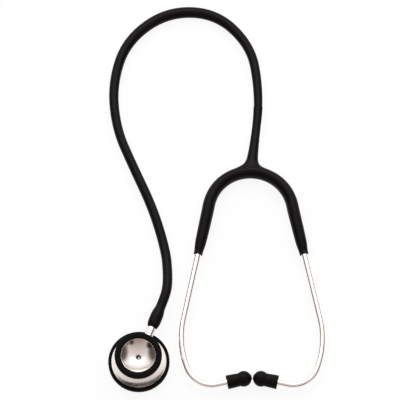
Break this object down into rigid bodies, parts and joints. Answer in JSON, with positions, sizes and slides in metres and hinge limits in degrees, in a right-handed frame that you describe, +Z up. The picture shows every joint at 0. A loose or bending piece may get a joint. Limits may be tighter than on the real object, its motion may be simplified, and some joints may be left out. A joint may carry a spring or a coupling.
{
  "type": "stethoscope",
  "caption": "Acoustic stethoscope with a two-sided turning chestpiece, a moulded hose and yoke, sprung ear tubes and soft ear tips, laid flat.",
  "frame": {"origin": "centre of the diaphragm's flat outer face, which rests on the table", "axes": "+Z up through the bell, +Y from the ear tips to the yoke, +X to the right seen from above with the yoke at the top"},
  "size_m": [0.1717, 0.3267, 0.0225],
  "materials": {
    "polished_steel": "turned stainless steel polished to a mirror",
    "rim_rubber": "moulded black non-chill rubber, satin",
    "seal_rubber": "black nitrile",
    "diaphragm_resin": "thin glass and epoxy laminate, satin",
    "spring_steel": "tempered spring steel",
    "hose_pvc": "soft black PVC, semi-gloss",
    "ear_tube_metal": "bright plated tube",
    "bead_plastic": "hard black plastic",
    "ear_tip_pvc": "soft black PVC, satin"
  },
  "bodies": {
    "tubing": {"hose": "hose_pvc", "yoke": "hose_pvc", "leaf_spring": "spring_steel"},
    "chest_end": {"hose_end": "hose_pvc", "stem": "polished_steel", "stem_seal": "seal_rubber"},
    "chestpiece": {"chestpiece_body": "polished_steel", "bell_rim": "rim_rubber", "diaphragm": "diaphragm_resin", "diaphragm_rim": "rim_rubber", "stem_nut": "polished_steel", "detent_ball": "polished_steel", "detent_spring": "spring_steel", "detent_screw": "spring_steel"},
    "left_arm": {"left_arm_sleeve": "hose_pvc"},
    "right_arm": {"right_arm_sleeve": "hose_pvc"},
    "left_earpiece": {"left_ear_tube": "ear_tube_metal", "left_tip_bead": "bead_plastic", "left_ear_tip": "ear_tip_pvc"},
    "right_earpiece": {"right_ear_tube": "ear_tube_metal", "right_tip_bead": "bead_plastic", "right_ear_tip": "ear_tip_pvc"}
  },
  "joints": [
    {"name": "chestpiece_turn", "type": "hinge", "parent": "chest_end", "child": "chestpiece", "pos_m": [0, 0, 0.0104], "axis": [0.3665, 0.9304, 0], "continuous": true},
    {"name": "hose_bend", "type": "hinge", "parent": "tubing", "child": "chest_end", "pos_m": [-0.0235, 0.2346, 0.00385], "axis": [0, 0, -1], "range_deg": [0, 18], "stiffness_Nm_per_rad": 0.3, "deforming": ["hose"]},
    {"name": "left_swing", "type": "hinge", "parent": "tubing", "child": "left_arm", "pos_m": [0.06698, 0.1492, 0.0061], "axis": [0, 0, -1], "range_deg": [0, 25], "stiffness_Nm_per_rad": 1, "deforming": ["yoke", "leaf_spring"]},
    {"name": "right_swing", "type": "hinge", "parent": "tubing", "child": "right_arm", "pos_m": [0.10823, 0.1492, 0.0061], "axis": [0, 0, 1], "range_deg": [0, 25], "stiffness_Nm_per_rad": 1, "deforming": ["yoke", "leaf_spring"]},
    {"name": "left_twist", "type": "hinge", "parent": "left_arm", "child": "left_earpiece", "pos_m": [0.04236, 0.07108, 0.0061], "axis": [-0.2079, -0.9781, 0], "range_deg": [-20, 20]},
    {"name": "right_twist", "type": "hinge", "parent": "right_arm", "child": "right_earpiece", "pos_m": [0.13284, 0.07108, 0.0061], "axis": [-0.2079, 0.9781, 0], "range_deg": [-20, 20]}
  ],
  "couplings": [
    {"joint": "hose_bend", "follows": "left_swing", "ratio": 0.72}
  ]
}
